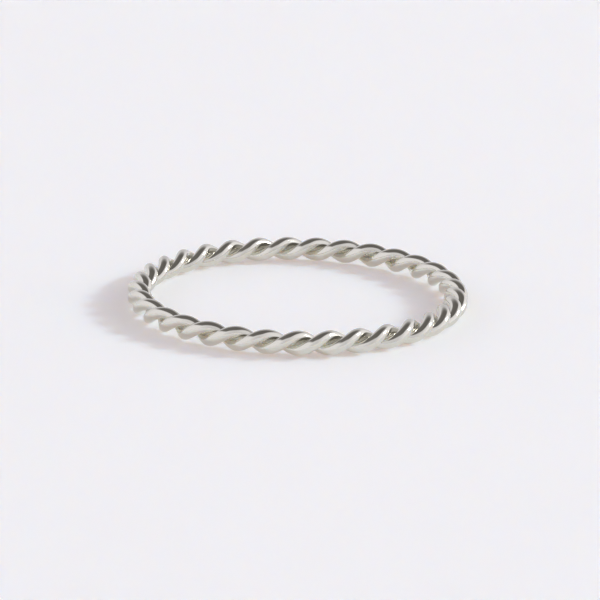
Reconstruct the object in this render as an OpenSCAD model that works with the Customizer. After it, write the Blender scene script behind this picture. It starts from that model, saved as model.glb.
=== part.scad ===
// A plain finger ring: two round wires twisted into a rope and closed into a circle.
// It lies flat. The origin is on the ring's own axis, at the lowest point of the wires.

/* [Ring] */
// Inside diameter, between the innermost points of the wires (US size 7)
finger_d = 17.35; // [15:0.05:20]

/* [Wires] */
// Diameter of each of the two round wires
wire_d = 0.71; // [0.6:0.01:0.85]
// Clear gap between the wires where they lie against each other
wire_gap = 0.02; // [0.01:0.01:0.05]
// Clear gap at the joint, where each wire's end meets the start of the other
joint_gap = 0.03; // [0.02:0.01:0.1]

/* [Twist] */
// Half turns of the twist once round the ring, odd so that each wire runs on into the other
half_turns = 33; // [25:2:37]
// Hand of the twist, as on a rope
twist_hand = "left"; // [left, right]
// Where strand A stands round the rope on the ring's +X side, counted up from the outer side
start_angle = 142; // [0:1:359]
// Which side of the ring the joint is on, counted from +X
joint_side = 90; // [0:1:359]

/* [Facets] */
// Flat sides round a wire
wire_sides = 12; // [8:1:12]
// Sections along a wire in each half turn of the twist
sections_per_half_turn = 8; // [6:1:8]

/* [Hidden] */

wire_r = wire_d / 2;
lay_r = (wire_d + wire_gap) / 2; // from the rope's axis to the axis of a wire
rope_r = lay_r + wire_r;
ring_r = finger_d / 2 + rope_r; // from the ring's axis to the rope's axis

// Degrees that a wire turns round the rope for each degree round the ring
twist_rate = (twist_hand == "left" ? 1 : -1) * half_turns / 2;

// The joint is moved along to the nearest place where one wire lies on top of the other
joint_turn = 90 + 180 * round((start_angle + twist_rate * joint_side - 90) / 180);
joint_start = (joint_turn - start_angle) / twist_rate;
wire_sweep = 360 - joint_gap / ring_r * 180 / PI;

section_count = half_turns * sections_per_half_turn;
section_angles = [for (i = [0 : section_count]) joint_start + wire_sweep * i / section_count];

function unit(v) = v / norm(v);

// Directions at an angle round the ring: away from its axis, and along the rope
function outward(round_at) = [cos(round_at), sin(round_at), 0];
function along(round_at) = [-sin(round_at), cos(round_at), 0];

// Direction from the rope's axis to a wire's axis
function lay_dir(round_at, turn) = cos(turn) * outward(round_at) + [0, 0, sin(turn)];

// How a wire's axis leans as it runs: forward with the ring, and round the rope
function wire_dir(round_at, turn) =
    let (forward = ring_r + lay_r * cos(turn))
    let (sideways = lay_r * twist_rate)
    let (swing = cos(turn) * [0, 0, 1] - sin(turn) * outward(round_at))
    unit(forward * along(round_at) + sideways * swing);

// One circle of points square to the wire, where it has come to this angle round the ring
function wire_section(round_at, offset) =
    let (turn = start_angle + offset + twist_rate * round_at)
    let (lay = lay_dir(round_at, turn))
    let (side = cross(wire_dir(round_at, turn), lay))
    let (centre = ring_r * outward(round_at) + [0, 0, rope_r] + lay_r * lay)
    [for (k = [0 : wire_sides - 1])
        let (a = 360 * k / wire_sides)
        centre + wire_r * (cos(a) * lay + sin(a) * side)];

// Two triangles for each facet between two neighbouring sections, and a flat face at each end
function wire_faces() = concat(
    [[for (k = [0 : wire_sides - 1]) k]],
    [[for (k = [0 : wire_sides - 1]) section_count * wire_sides + wire_sides - 1 - k]],
    [for (i = [0 : section_count - 1], k = [0 : wire_sides - 1], half = [0, 1])
        let (here = i * wire_sides)
        let (next = here + wire_sides)
        let (k2 = (k + 1) % wire_sides)
        half == 0 ? [here + k, next + k, next + k2] : [here + k, next + k2, here + k2]]);

// A wire once round the ring, starting this many degrees round the rope from strand A
module twisted_wire(offset) {
    polyhedron(
        points = [for (at = section_angles) each wire_section(at, offset)],
        faces = wire_faces(),
        convexity = 10);
}

module strand_a() {
    color("#CDCAC2") twisted_wire(0);
}

module strand_b() {
    color("#C4C1B9") twisted_wire(180);
}

strand_a();
strand_b();
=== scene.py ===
import math

import bpy
from mathutils import Matrix, Vector


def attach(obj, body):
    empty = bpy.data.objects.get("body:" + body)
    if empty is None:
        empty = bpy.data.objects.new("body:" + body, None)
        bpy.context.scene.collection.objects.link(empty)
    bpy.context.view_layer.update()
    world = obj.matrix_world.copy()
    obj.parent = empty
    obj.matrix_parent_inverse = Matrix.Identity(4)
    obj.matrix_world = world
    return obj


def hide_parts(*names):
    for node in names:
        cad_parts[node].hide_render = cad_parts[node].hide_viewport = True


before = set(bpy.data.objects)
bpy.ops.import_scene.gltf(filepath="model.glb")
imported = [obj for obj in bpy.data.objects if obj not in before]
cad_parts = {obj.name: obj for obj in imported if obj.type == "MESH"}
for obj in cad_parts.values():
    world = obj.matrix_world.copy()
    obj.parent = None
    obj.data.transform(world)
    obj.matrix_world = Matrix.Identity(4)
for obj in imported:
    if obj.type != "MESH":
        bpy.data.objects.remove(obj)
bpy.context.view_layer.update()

mm = 0.001  # the scene is in metres


# Colours are typed as sRGB hex, and the shaders work in linear light
def linear(hexCode):
    values = [int(hexCode[i:i + 2], 16) / 255 for i in (1, 3, 5)]
    return [v / 12.92 if v <= 0.04045 else ((v + 0.055) / 1.055) ** 2.4 for v in values] + [1.0]


# Adds one shader node. settings go on the node, inputs on its sockets, and a link is (from node, its output)
def addNode(tree, kind, settings=None, inputs=None, links=None):
    node = tree.nodes.new("ShaderNode" + kind)
    for name, value in (settings or {}).items():
        setattr(node, name, value)
    for name, value in (inputs or {}).items():
        node.inputs[name].default_value = value
    for name, (source, output) in (links or {}).items():
        tree.links.new(source.outputs[output], node.inputs[name])
    return node


def newMaterial(name):
    material = bpy.data.materials.new(name)
    material.use_nodes = True
    material.node_tree.nodes.clear()
    return material, material.node_tree


# The ring's main sizes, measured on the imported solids
radii = [vertex.co.xy.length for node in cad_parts.values() for vertex in node.data.vertices]
ringRadius = (max(radii) + min(radii)) / 2  # from the ring's axis to the middle of the rope
ropeRadius = (max(radii) - min(radii)) / 2
print(f"ring: middle radius {ringRadius / mm:.3f} mm, rope {2 * ropeRadius / mm:.3f} mm thick")


# Polished white gold: drawn wire, twisted, soldered and buffed on a wheel.
# The eye gets a warm silver mirror whose reflections waver slightly along the wire.
goldSettings = {
    "colour": "#DFDDD3",
    "roughness": 0.085,
    "drawWaveMm": 0.9,  # slow unevenness left by twisting the wire
    "drawWaveDepthMm": 0.003,
    "drawWaveAlong": 0.6,  # how often the waves repeat along the wire, for each time round it
    "buffMarkMm": 0.07,  # real buffing marks are a tenth of this, too fine for a pixel
    "buffMarkDepthMm": 0.00012,
    "buffMarkAlong": 0.08,  # the marks are long and run with the wire
    "hazeMm": 0.5,  # patches where the polish is a little less bright
    "hazeAmount": 0.03,
    "hazeFrom": 0.35,  # most of a noise texture lies between these two
    "hazeTo": 0.75,
    "grooveDullness": 0.2,  # more roughness in the groove, where the wheel doesn't reach
}


def polishedWhiteGold():
    s = goldSettings
    material, tree = newMaterial("polishedWhiteGold")
    # wireSpace holds, in mm, where a point lies on the wire if the wire were pulled straight
    space = addNode(tree, "Attribute", {"attribute_name": "wireSpace"})
    slow = addNode(tree, "Mapping", inputs={"Scale": [1, 1, s["drawWaveAlong"]]},
                   links={"Vector": (space, "Vector")})
    wave = addNode(tree, "TexNoise", inputs={"Scale": 1 / s["drawWaveMm"], "Detail": 1.0},
                   links={"Vector": (slow, "Vector")})
    stretched = addNode(tree, "Mapping", inputs={"Scale": [1, 1, s["buffMarkAlong"]]},
                        links={"Vector": (space, "Vector")})
    marks = addNode(tree, "TexNoise", inputs={"Scale": 1 / s["buffMarkMm"], "Detail": 2.0},
                    links={"Vector": (stretched, "Vector")})
    haze = addNode(tree, "TexNoise", inputs={"Scale": 1 / s["hazeMm"], "Detail": 2.0},
                   links={"Vector": (space, "Vector")})
    waveBump = addNode(tree, "Bump", inputs={"Strength": 1.0, "Distance": s["drawWaveDepthMm"] * mm},
                       links={"Height": (wave, "Fac")})
    markBump = addNode(tree, "Bump", inputs={"Strength": 1.0, "Distance": s["buffMarkDepthMm"] * mm},
                       links={"Height": (marks, "Fac"), "Normal": (waveBump, "Normal")})
    roughness = addNode(tree, "MapRange", inputs={
        "From Min": s["hazeFrom"], "From Max": s["hazeTo"],
        "To Min": s["roughness"], "To Max": s["roughness"] + s["hazeAmount"]},
        links={"Value": (haze, "Fac")})
    # groove runs from 0 on the open wire to 1 on the solder
    groove = addNode(tree, "Attribute", {"attribute_name": "groove"})
    dulled = addNode(tree, "Math", {"operation": "MULTIPLY_ADD"}, {1: s["grooveDullness"]},
                     {0: (groove, "Fac"), 2: (roughness, "Result")})
    metal = addNode(tree, "BsdfPrincipled",
                    inputs={"Base Color": linear(s["colour"]), "Metallic": 1.0},
                    links={"Roughness": (dulled, "Value"), "Normal": (markBump, "Normal")})
    addNode(tree, "OutputMaterial", links={"Surface": (metal, "BSDF")})
    return material


# The two wires, twisted into a rope and closed into a circle, with solder in the groove between them
wireSettings = {
    "halfTurns": 33,  # of the twist, once round the ring
    "startAngle": 142,  # degrees round the rope where strand A stands on the +X side
    "jointSide": 90,  # degrees round the ring, where the ends are soldered
    "touchGapMm": 0.002,  # between the wires
    "seamMm": 0.002,  # open line left where two ends meet
    "seamBevelMm": 0.002,  # the rounded edge of an end
    "solderFrom": 150,  # degrees round a wire from its outermost side, where the solder starts
    "dullFrom": 135,  # where the polish begins to fade towards the solder
    "sides": 40,  # round the open part of a wire
    "solderSides": 5,
    "sectionsPerHalfTurn": 24,
}
wireRadius = ropeRadius / 2 - wireSettings["touchGapMm"] * mm / 2
layRadius = ropeRadius - wireRadius  # from the middle of the rope to the middle of a wire
twistRate = wireSettings["halfTurns"] / 2


# The rope's middle, the direction from there to a wire, and the direction square to that across the rope
def ropeAxis(roundAt, turn):
    outward = Vector((math.cos(roundAt), math.sin(roundAt), 0))
    up = Vector((0, 0, 1))
    lay = math.cos(turn) * outward + math.sin(turn) * up
    swing = math.cos(turn) * up - math.sin(turn) * outward
    return ringRadius * outward + ropeRadius * up, lay, swing


# The wire's middle where it has come to this angle round the ring, and the points round it there, each
# with its angle round the wire from the outermost side
def wireSection(roundAt, offset):
    s = wireSettings
    turn = math.radians(s["startAngle"]) + offset + twistRate * roundAt
    middle, lay, swing = ropeAxis(roundAt, turn)
    centre = middle + layRadius * lay
    along = Vector((-math.sin(roundAt), math.cos(roundAt), 0))
    forward = (ringRadius + layRadius * math.cos(turn)) * along + layRadius * twistRate * swing
    side = forward.normalized().cross(lay)

    def onWire(a):
        return centre + wireRadius * (math.cos(a) * lay + math.sin(a) * side)

    # A point seen square across the rope: how far it lies along the lay and the swing there
    def acrossRope(point):
        step = math.remainder(math.atan2(point.y, point.x) - roundAt, 2 * math.pi)
        axis = ropeAxis(roundAt + step, turn + twistRate * step)
        return axis, Vector(((point - axis[0]).dot(axis[1]), (point - axis[0]).dot(axis[2])))

    # Solder leaves the wire at angle a and runs in one smooth bend to the middle of the groove
    def solder(a):
        (middleThere, layThere, swingThere), start = acrossRope(onWire(a))
        slope = (start - acrossRope(onWire(a * 0.99))[1]).normalized()  # from a point close by on the wire
        middleGap = layRadius - wireRadius
        reach = (start.x - middleGap) / (1 - slope.x)
        bend = start + reach * slope
        end = Vector((middleGap, bend.y))
        points = []
        for i in range(1, s["solderSides"] + 1):
            t = i / s["solderSides"]
            flat = (1 - t) ** 2 * start + 2 * t * (1 - t) * bend + t * t * end
            angle = math.copysign(abs(a) + t * (math.pi - abs(a)), a)
            points.append((middleThere + flat.x * layThere + flat.y * swingThere, angle))
        return points

    bareTo = math.radians(s["solderFrom"])
    bare = [(onWire(a), a) for a in (bareTo * (2 * k / s["sides"] - 1) for k in range(s["sides"] + 1))]
    touching = [(onWire(math.pi), math.pi)]
    return centre, bare + solder(bareTo) + touching + solder(-bareTo)[::-1]


# Where a strand's sections lie round the ring, each with the share of the wire's radius that it has
def strandSections():
    s = wireSettings
    # The joint is where one wire lies on top of the other, nearest to the chosen side
    quarter = math.pi / 2
    startAngle = math.radians(s["startAngle"])
    turnThere = startAngle + twistRate * math.radians(s["jointSide"])
    jointTurn = quarter + math.pi * round((turnThere - quarter) / math.pi)
    jointAt = (jointTurn - startAngle) / twistRate
    seam = s["seamMm"] * mm / ringRadius
    bevel = s["seamBevelMm"] * mm / ringRadius
    start = jointAt + seam / 2
    sweep = 2 * math.pi - seam
    # Sections that round over an end: how many bevels they lie in from it, and the radius left there
    lost = s["seamBevelMm"] * mm / wireRadius
    rounding = [(0, 1 - lost), (0.3, 1 - 0.35 * lost), (1, 1)]
    # One more stands close behind them, so that the bevel doesn't show in the smooth shading of the wire
    closeBehind = 3
    first = start + closeBehind * bevel
    length = sweep - 2 * closeBehind * bevel
    count = s["halfTurns"] * s["sectionsPerHalfTurn"]
    return ([(start + inward * bevel, size) for inward, size in rounding]
            + [(first + length * i / count, 1) for i in range(count + 1)]
            + [(start + sweep - inward * bevel, size) for inward, size in reversed(rounding)])


# offset is how far this strand stands round the rope from strand A. startLength is how far its start lies
# along the wire, which runs on from one strand into the other
def buildStrand(name, cadNode, offset, startLength, material):
    s = wireSettings
    sections = strandSections()
    verts, spaces, grooves, faces, smooth, centres = [], [], [], [], [], []
    travelled = startLength
    for roundAt, size in sections:
        centre, points = wireSection(roundAt, offset)
        travelled += (centre - centres[-1]).length if centres else 0.0
        centres.append(centre)
        for point, a in points:
            verts.append(centre + size * (point - centre))
            # The twist turns the lay against the metal, so the pattern follows the metal
            grain = a + offset + twistRate * roundAt
            spaces.append((wireRadius / mm * math.cos(grain), wireRadius / mm * math.sin(grain),
                           travelled / mm))
            faded = (abs(math.degrees(a)) - s["dullFrom"]) / (s["solderFrom"] - s["dullFrom"])
            grooves.append(min(max(faded, 0), 1))

    around = len(points)
    hidden = s["sides"] + 1 + s["solderSides"]  # the point where the two wires touch, inside the rope
    for i in range(len(sections) - 1):
        for k in range(around):
            here, there = i * around, (i + 1) * around
            k2 = (k + 1) % around
            faces.append((here + k, here + k2, there + k2, there + k))
            smooth.append(hidden not in (k, k2))

    # A fan of triangles from the middle closes each end, so both sides of a seam have the same shape
    last = (len(sections) - 1) * around
    ends = ((0, centres[0], startLength, -1), (last, centres[-1], travelled, 1))
    for firstPoint, middle, lengthThere, way in ends:
        hub = len(verts)
        verts.append(middle)
        spaces.append((0.0, 0.0, lengthThere / mm))
        grooves.append(0)
        for k in range(around):
            corners = (firstPoint + k, firstPoint + (k + 1) % around)
            faces.append((hub, *corners[::way]))
            smooth.append(False)

    mesh = bpy.data.meshes.new(name)
    mesh.from_pydata([tuple(v) for v in verts], [], faces)
    wireSpace = mesh.attributes.new("wireSpace", "FLOAT_VECTOR", "POINT")
    wireSpace.data.foreach_set("vector", [value for point in spaces for value in point])
    groove = mesh.attributes.new("groove", "FLOAT", "POINT")
    groove.data.foreach_set("value", grooves)
    mesh.polygons.foreach_set("use_smooth", smooth)
    mesh.materials.append(material)
    strand = bpy.data.objects.new(name, mesh)
    bpy.context.scene.collection.objects.link(strand)
    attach(strand, "root")
    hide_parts(cadNode)
    print(f"{name}: {len(mesh.polygons)} faces, {(travelled - startLength) / mm:.1f} mm of wire")
    return travelled


gold = polishedWhiteGold()
endOfA = buildStrand("strandA", "strand_a", 0, 0.0, gold)
buildStrand("strandB", "strand_b", math.pi, endOfA, gold)


# The floor under the ring: a level sheet of matt opal acrylic. The sheet gives off a faint warm glow of its
# own, a painted glow that stands in for a lamp below it.
# The glow keeps the shadows light. Red light spreads further inside the sheet than blue light does,
# which turns the shadow peach next to the ring.
floorSettings = {
    "sizeMm": 3000,
    "colour": "#F3F8FF",
    # painted glow: warm light the sheet gives off by itself, which lightens and warms the shadows
    "glow": "#6B6053",
    "roughness": 0.9,
    "scatter": 0.55,  # share of the light that travels inside the sheet before it comes out
    "scatterMm": (5, 1.5, 0.3),  # how far red, green and blue light travel there
    "clearanceMm": 0.1,  # a twisted ring is never dead flat: it stands on three crests
    "grainMm": 0.4,
    "grainDepthMm": 0.001,
}


def mattOpalAcrylic():
    s = floorSettings
    material, tree = newMaterial("mattOpalAcrylic")
    place = addNode(tree, "TexCoord")
    grain = addNode(tree, "TexNoise", inputs={"Scale": 1 / (s["grainMm"] * mm), "Detail": 3.0},
                    links={"Vector": (place, "Object")})
    bump = addNode(tree, "Bump", inputs={"Strength": 1.0, "Distance": s["grainDepthMm"] * mm},
                   links={"Height": (grain, "Fac")})
    sheet = addNode(tree, "BsdfPrincipled", {"subsurface_method": "BURLEY"},
                    {"Base Color": linear(s["colour"]), "Roughness": s["roughness"],
                     "Subsurface Weight": s["scatter"], "Subsurface Radius": s["scatterMm"],
                     "Subsurface Scale": mm, "Specular IOR Level": 0.0,
                     # the emission is the painted glow that fills the shadows with warm light
                     "Emission Color": linear(s["glow"]), "Emission Strength": 1.0},
                    {"Normal": (bump, "Normal")})
    addNode(tree, "OutputMaterial", links={"Surface": (sheet, "BSDF")})
    return material


def buildFloor():
    half = floorSettings["sizeMm"] * mm / 2
    level = -floorSettings["clearanceMm"] * mm
    corners = [(-half, -half, level), (half, -half, level), (half, half, level), (-half, half, level)]
    mesh = bpy.data.meshes.new("floor")
    mesh.from_pydata(corners, [], [(0, 1, 2, 3)])
    mesh.materials.append(mattOpalAcrylic())
    floor = bpy.data.objects.new("floor", mesh)
    bpy.context.scene.collection.objects.link(floor)


buildFloor()
print("floor: laid")


# Light: a white tent lit on both sides, with a dim opening overhead, and a small soft window on the right.
# Bearings are counted from straight behind the ring, as the camera sees it, towards the right.
lightSettings = {
    "tent": "#E4E2E8",
    # Where the tent is brighter or duller: the bearing and height of the middle in degrees, how many
    # degrees out the change has faded away, and how much brighter than the rest the middle is
    "leftGlow": (245, 18, 95, 0.25),
    "rightGlow": (85, 3, 75, 0.36),
    "cameraShade": (180, 22, 30, -0.15),  # the camera stands in front of the tent
    "backShade": (5, 30, 34, -0.17),
    # The opening is cut in a level ceiling. Its edges are counted from straight above, in ceiling heights
    "opening": "#6B6867",
    "openingMiddle": -0.03,
    "openingHalfWidth": 0.69,  # level with straight above
    "openingWidens": 0.3,  # more half width for each height further back
    "openingFront": -0.78,
    "openingBack": 1.0,
    "sideSoft": 0.13,
    "frontSoft": 0.25,
    "backSoft": 0.6,  # the back edge hangs loose and fades
    "lowestRise": 0.05,  # directions below this count as this high, so that nothing is divided by zero
    "windowBearing": 84,
    "windowHeight": 26.5,  # degrees above the floor
    "windowWide": 13,  # degrees, as the ring sees it
    "windowTall": 8,
    "windowStrength": 52,  # times as bright as plain white
    "windowColour": "#FFFDF8",
    "windowAwayMm": 3000,
    "glossyBounces": 12,  # light goes to and fro many times between the wires
}


# The direction from the ring to a bearing and a height, both in degrees
def wayTo(bearing, height):
    bearing, height = math.radians(bearing), math.radians(height)
    return Vector((math.sin(bearing) * math.cos(height), math.cos(bearing) * math.cos(height),
                   math.sin(height)))


def buildTent():
    s = lightSettings
    world = bpy.data.worlds.new("lightTent")
    bpy.context.scene.world = world
    world.use_nodes = True
    tree = world.node_tree
    tree.nodes.clear()
    direction = addNode(tree, "TexCoord")
    strength = addNode(tree, "Math", {"operation": "ADD"}, {0: 1.0, 1: 0.0})  # of the tent on its own
    for bearing, height, faded, extra in (s["leftGlow"], s["rightGlow"], s["cameraShade"], s["backShade"]):
        toGlow = addNode(tree, "VectorMath", {"operation": "DOT_PRODUCT"},
                         {1: wayTo(bearing, height)}, {0: (direction, "Generated")})
        glow = addNode(tree, "MapRange", {"interpolation_type": "SMOOTHSTEP"},
                       {"From Min": math.cos(math.radians(faded)), "From Max": 1.0, "To Max": extra},
                       {"Value": (toGlow, "Value")})
        strength = addNode(tree, "Math", {"operation": "ADD"},
                           links={0: (strength, "Value"), 1: (glow, "Result")})

    # Where a direction meets the level ceiling, in ceiling heights
    parts = addNode(tree, "SeparateXYZ", links={"Vector": (direction, "Generated")})
    rise = addNode(tree, "Math", {"operation": "MAXIMUM"}, {1: s["lowestRise"]}, {0: (parts, "Z")})
    across = addNode(tree, "Math", {"operation": "DIVIDE"}, links={0: (parts, "X"), 1: (rise, "Value")})
    along = addNode(tree, "Math", {"operation": "DIVIDE"}, links={0: (parts, "Y"), 1: (rise, "Value")})
    # Each edge counts 1 where the opening is and 0 outside, and the opening is where all three do
    width = addNode(tree, "Math", {"operation": "MULTIPLY_ADD"},
                    {1: s["openingWidens"], 2: s["openingHalfWidth"]}, {0: (along, "Value")})
    fromMiddle = addNode(tree, "Math", {"operation": "SUBTRACT"},
                         {1: s["openingMiddle"]}, {0: (across, "Value")})
    offMiddle = addNode(tree, "Math", {"operation": "ABSOLUTE"}, links={0: (fromMiddle, "Value")})
    toSide = addNode(tree, "Math", {"operation": "SUBTRACT"},
                     links={0: (width, "Value"), 1: (offMiddle, "Value")})
    edges = [(toSide, 0, s["sideSoft"]), (along, s["openingFront"], s["frontSoft"]),
             (along, s["openingBack"], -s["backSoft"])]
    side, front, back = [
        addNode(tree, "MapRange", {"interpolation_type": "SMOOTHSTEP"},
                {"From Min": place - soft, "From Max": place + soft}, {"Value": (way, "Value")})
        for way, place, soft in edges]
    depth = addNode(tree, "Math", {"operation": "MULTIPLY"},
                    links={0: (front, "Result"), 1: (back, "Result")})
    inside = addNode(tree, "Math", {"operation": "MULTIPLY"},
                     links={0: (depth, "Value"), 1: (side, "Result")})
    seen = addNode(tree, "MixRGB", inputs={"Color1": linear(s["tent"]), "Color2": linear(s["opening"])},
                   links={"Fac": (inside, "Value")})
    background = addNode(tree, "Background",
                         links={"Color": (seen, "Color"), "Strength": (strength, "Value")})
    addNode(tree, "OutputWorld", links={"Surface": (background, "Background")})


def buildWindow():
    s = lightSettings
    away = wayTo(s["windowBearing"], s["windowHeight"])
    data = bpy.data.lights.new("window", "AREA")
    data.shape = "RECTANGLE"
    data.size = 2 * s["windowAwayMm"] * mm * math.tan(math.radians(s["windowWide"]) / 2)
    data.size_y = 2 * s["windowAwayMm"] * mm * math.tan(math.radians(s["windowTall"]) / 2)
    data.energy = s["windowStrength"] * math.pi * data.size * data.size_y  # watts for this brightness
    data.color = linear(s["windowColour"])[:3]
    window = bpy.data.objects.new("window", data)
    bpy.context.scene.collection.objects.link(window)
    window.location = s["windowAwayMm"] * mm * away
    window.rotation_euler = away.to_track_quat("Z", "Y").to_euler()


buildTent()
buildWindow()
bpy.context.scene.cycles.glossy_bounces = lightSettings["glossyBounces"]
bpy.context.scene.view_settings.view_transform = "Standard"
print("light: tent and window")


# The camera stands where the photo's camera stood
cameraSettings = {
    "distanceMm": 229.96,
    "elevation": 17.344,  # degrees above the middle of the rope
    "roll": 1.105,
    "lensMm": 232.8,
    "sensorMm": 36,
    "clipFromMm": 10,
    "clipToMm": 10000,
    "aimRightMm": 0.134,  # the picture's middle lies a little off the ring's
    "aimUpMm": -0.357,
}


def buildCamera():
    s = cameraSettings
    centre = Vector((0, 0, ropeRadius))
    elevation, roll = math.radians(s["elevation"]), math.radians(s["roll"])
    away = Vector((0, -math.cos(elevation), math.sin(elevation)))
    place = centre + s["distanceMm"] * mm * away
    right = Vector((1, 0, 0))
    up = away.cross(right)
    rolledRight = math.cos(roll) * right + math.sin(roll) * up
    rolledUp = math.cos(roll) * up - math.sin(roll) * right
    aim = centre + s["aimRightMm"] * mm * rolledRight + s["aimUpMm"] * mm * rolledUp
    back = (place - aim).normalized()
    sideways = rolledUp.cross(back).normalized()
    upright = back.cross(sideways)
    data = bpy.data.cameras.new("camera")
    data.lens = s["lensMm"]
    data.sensor_width = s["sensorMm"]
    data.clip_start = s["clipFromMm"] * mm
    data.clip_end = s["clipToMm"] * mm
    camera = bpy.data.objects.new("camera", data)
    bpy.context.scene.collection.objects.link(camera)
    camera.matrix_world = Matrix((
        (sideways.x, upright.x, back.x, place.x),
        (sideways.y, upright.y, back.y, place.y),
        (sideways.z, upright.z, back.z, place.z),
        (0, 0, 0, 1)))
    bpy.context.scene.camera = camera


buildCamera()
print("camera: placed")
